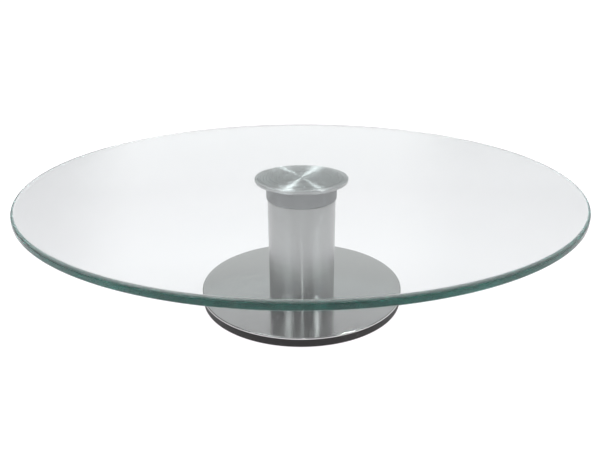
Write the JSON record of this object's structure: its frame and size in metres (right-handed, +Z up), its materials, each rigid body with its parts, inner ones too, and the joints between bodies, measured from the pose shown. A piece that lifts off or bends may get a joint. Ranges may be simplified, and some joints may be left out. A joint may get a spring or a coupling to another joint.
{
  "type": "cake turntable",
  "caption": "Glass cake turntable: a round glass plate that spins on a short tubular metal column, which stands on a weighted round base with a rubber foot.",
  "frame": {"origin": "on the surface that the turntable stands on, under the spin axis", "axes": "+Z up along the spin axis; X and Y are any two level directions, as the outside is round"},
  "size_m": [0.305, 0.305, 0.0775],
  "materials": {
    "glass": "clear, with a polished green edge",
    "adhesive": "clear, cured",
    "turned_steel": "turned, with concentric marks",
    "satin_aluminium": "satin",
    "brushed_steel": "polished, with fine marks round the tube",
    "polished_steel": "polished",
    "bearing_steel": "ground",
    "cage_brass": "pressed",
    "bronze": "sintered",
    "plated_steel": "zinc plated",
    "black_rubber": "matte"
  },
  "bodies": {
    "stand": {"base_plate": "polished_steel", "base_weight": "plated_steel", "foot_ring": "black_rubber", "base_bolt": "plated_steel", "column_tube": "brushed_steel", "tube_plug": "plated_steel", "bearing_housing": "satin_aluminium", "lower_thrust_washer": "bearing_steel", "guide_bush": "bronze"},
    "turntable": {"glass_plate": "glass", "bond_film": "adhesive", "top_disc": "turned_steel", "spindle": "bearing_steel", "upper_thrust_washer": "bearing_steel", "wave_spring": "plated_steel", "retaining_washer": "plated_steel", "circlip": "plated_steel"},
    "ball_set": {"ball_cage": "cage_brass", "bearing_ball_01": "bearing_steel", "bearing_ball_02": "bearing_steel", "bearing_ball_03": "bearing_steel", "bearing_ball_04": "bearing_steel", "bearing_ball_05": "bearing_steel", "bearing_ball_06": "bearing_steel", "bearing_ball_07": "bearing_steel", "bearing_ball_08": "bearing_steel", "bearing_ball_09": "bearing_steel", "bearing_ball_10": "bearing_steel", "bearing_ball_11": "bearing_steel", "bearing_ball_12": "bearing_steel"}
  },
  "joints": [
    {"name": "turntable_spin", "type": "hinge", "parent": "stand", "child": "turntable", "pos_m": [0, 0, 0.0599], "axis": [0, 0, 1], "continuous": true},
    {"name": "ball_set_orbit", "type": "hinge", "parent": "stand", "child": "ball_set", "pos_m": [0, 0, 0.0599], "axis": [0, 0, 1], "continuous": true}
  ],
  "couplings": [
    {"joint": "ball_set_orbit", "follows": "turntable_spin", "ratio": 0.5}
  ]
}
